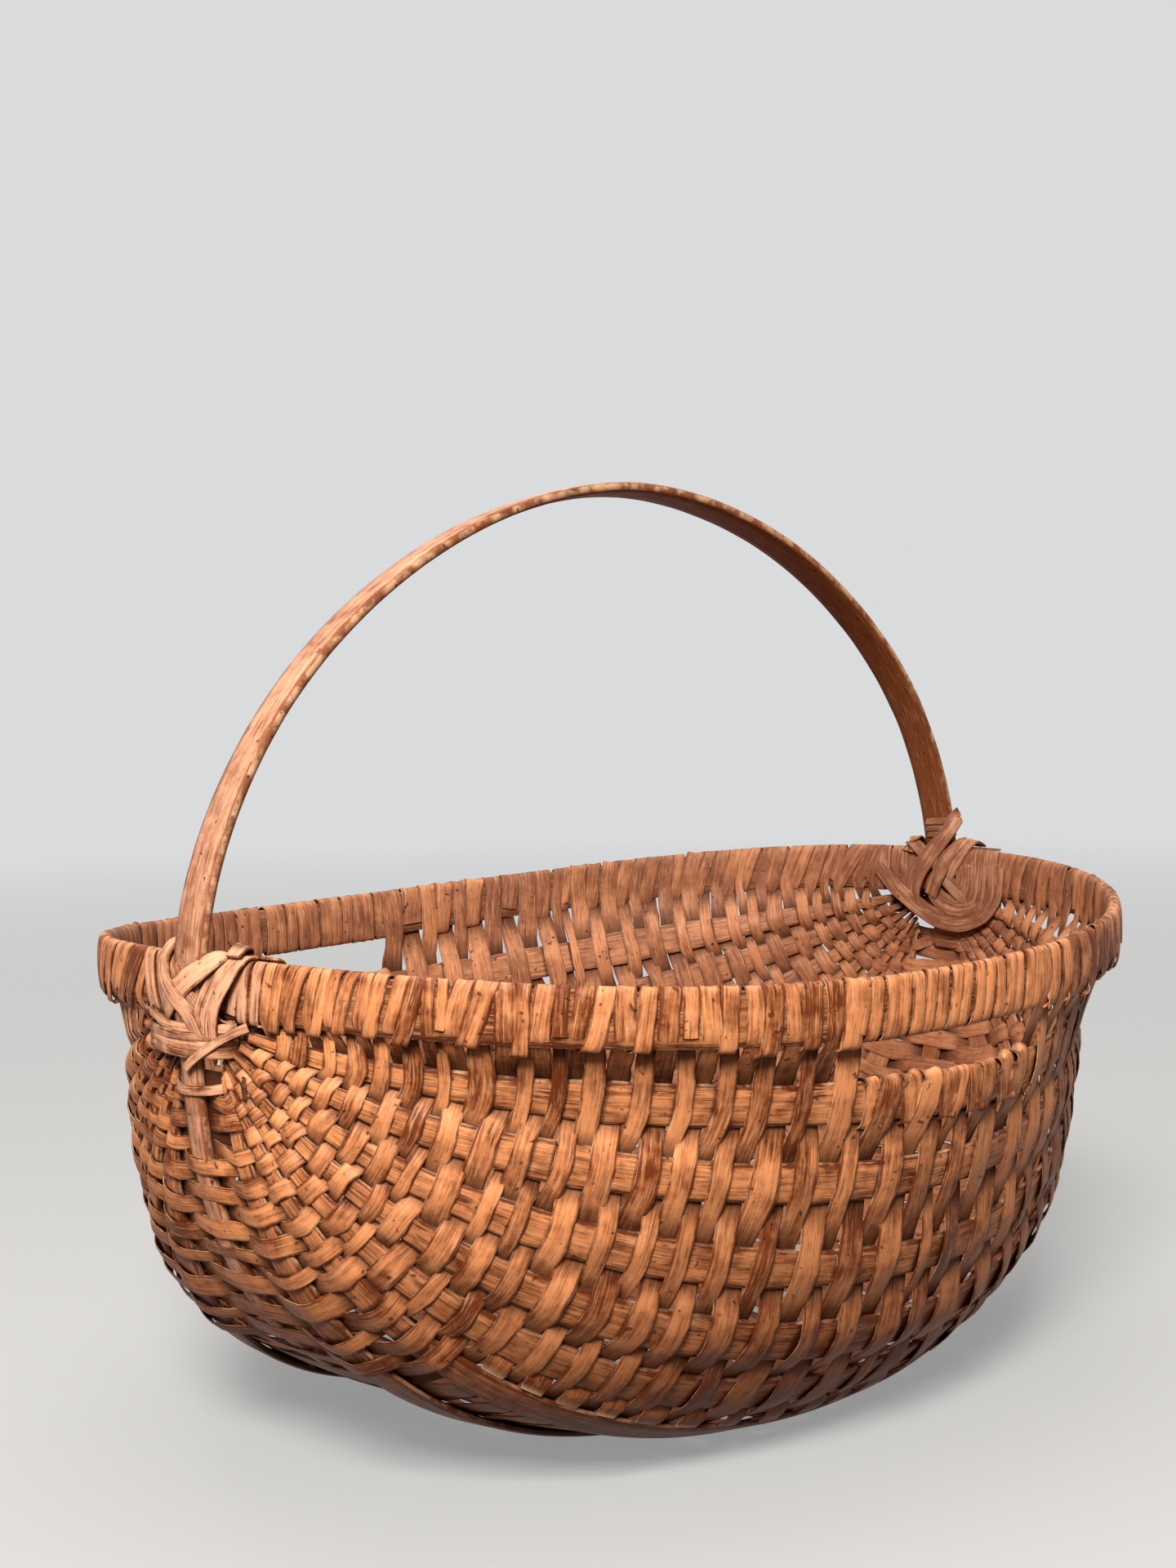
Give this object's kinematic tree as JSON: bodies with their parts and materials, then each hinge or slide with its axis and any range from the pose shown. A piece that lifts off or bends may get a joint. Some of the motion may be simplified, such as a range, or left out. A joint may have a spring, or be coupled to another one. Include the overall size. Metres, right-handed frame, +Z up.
{
  "type": "ribbed basket",
  "caption": "Oval round-bottomed basket of split wood with a fixed arched handle: hoops and ribs lashed at two ears, woven from rim to rim, with an open slot under each long side of the rim.",
  "frame": {"origin": "centre of the footprint on the surface the basket stands on, halfway between the ears and midway across", "axes": "+X from one ear to the other, +Y across the bowl away from the side with the longer slot, +Z up towards the handle"},
  "size_m": [0.4268, 0.331, 0.3396],
  "materials": {
    "hoop_wood": "worn satin",
    "rib_wood": "worn satin",
    "weaver_wood": "dry split wood, slightly polished by use",
    "lashing_wood": "dry split wood"
  },
  "bodies": {
    "root": {"handle_hoop": "hoop_wood", "rim_hoop": "hoop_wood", "rib_front_1": "rib_wood", "rib_front_2": "rib_wood", "rib_front_3": "rib_wood", "rib_front_4": "rib_wood", "rib_front_5": "rib_wood", "rib_front_6": "rib_wood", "rib_front_7": "rib_wood", "rib_back_1": "rib_wood", "rib_back_2": "rib_wood", "rib_back_3": "rib_wood", "rib_back_4": "rib_wood", "rib_back_5": "rib_wood", "rib_back_6": "rib_wood", "rib_back_7": "rib_wood", "weaver_01": "weaver_wood", "weaver_02": "weaver_wood", "weaver_03": "weaver_wood", "weaver_04": "weaver_wood", "weaver_05": "weaver_wood", "weaver_06": "weaver_wood", "weaver_07": "weaver_wood", "weaver_08": "weaver_wood", "weaver_09": "weaver_wood", "weaver_10": "weaver_wood", "weaver_11": "weaver_wood", "weaver_12": "weaver_wood", "weaver_13": "weaver_wood", "ear_band_left": "lashing_wood", "ear_band_right": "lashing_wood", "ear_collar_left": "lashing_wood", "ear_collar_right": "lashing_wood", "ear_cross_a_left": "lashing_wood", "ear_cross_a_right": "lashing_wood", "ear_cross_b_left": "lashing_wood", "ear_cross_b_right": "lashing_wood", "rim_binding_front": "weaver_wood", "rim_binding_back": "weaver_wood"}
  },
  "joints": []
}
